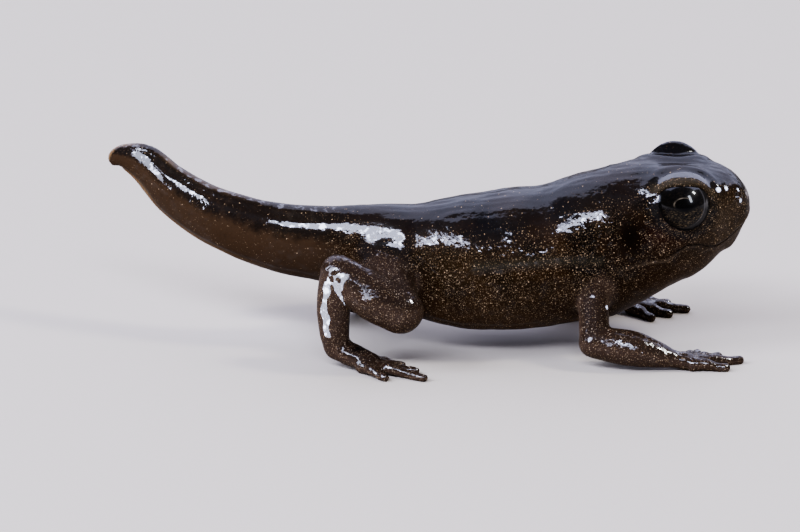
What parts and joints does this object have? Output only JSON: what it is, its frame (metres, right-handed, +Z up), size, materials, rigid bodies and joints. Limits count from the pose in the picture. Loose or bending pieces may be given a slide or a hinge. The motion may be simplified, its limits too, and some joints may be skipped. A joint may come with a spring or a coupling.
{
  "type": "common toad metamorph with its tail",
  "caption": "Life-size still figure of a young common toad that has all four legs and still has its tail, standing on its feet with the tail raised.",
  "frame": {"origin": "middle of the animal's length and width, on the floor that its hands and feet rest on", "axes": "+X towards the snout, +Y towards the animal's left, +Z up"},
  "size_m": [0.0202, 0.0082, 0.0062],
  "materials": {
    "skin": "wet, glossy, finely granular, near black-brown with gold specks",
    "eye": "wet and glossy, black iris with gold flecks"
  },
  "bodies": {
    "root": {"head": "skin", "torso": "skin", "tail_base": "skin", "tail_middle": "skin", "tail_tip": "skin", "upper_arm_left": "skin", "upper_arm_right": "skin", "forearm_left": "skin", "forearm_right": "skin", "hand_left": "skin", "hand_right": "skin", "thigh_left": "skin", "thigh_right": "skin", "shank_left": "skin", "shank_right": "skin", "tarsus_left": "skin", "tarsus_right": "skin", "foot_left": "skin", "foot_right": "skin", "eye_left": "eye", "eye_right": "eye"}
  },
  "joints": []
}
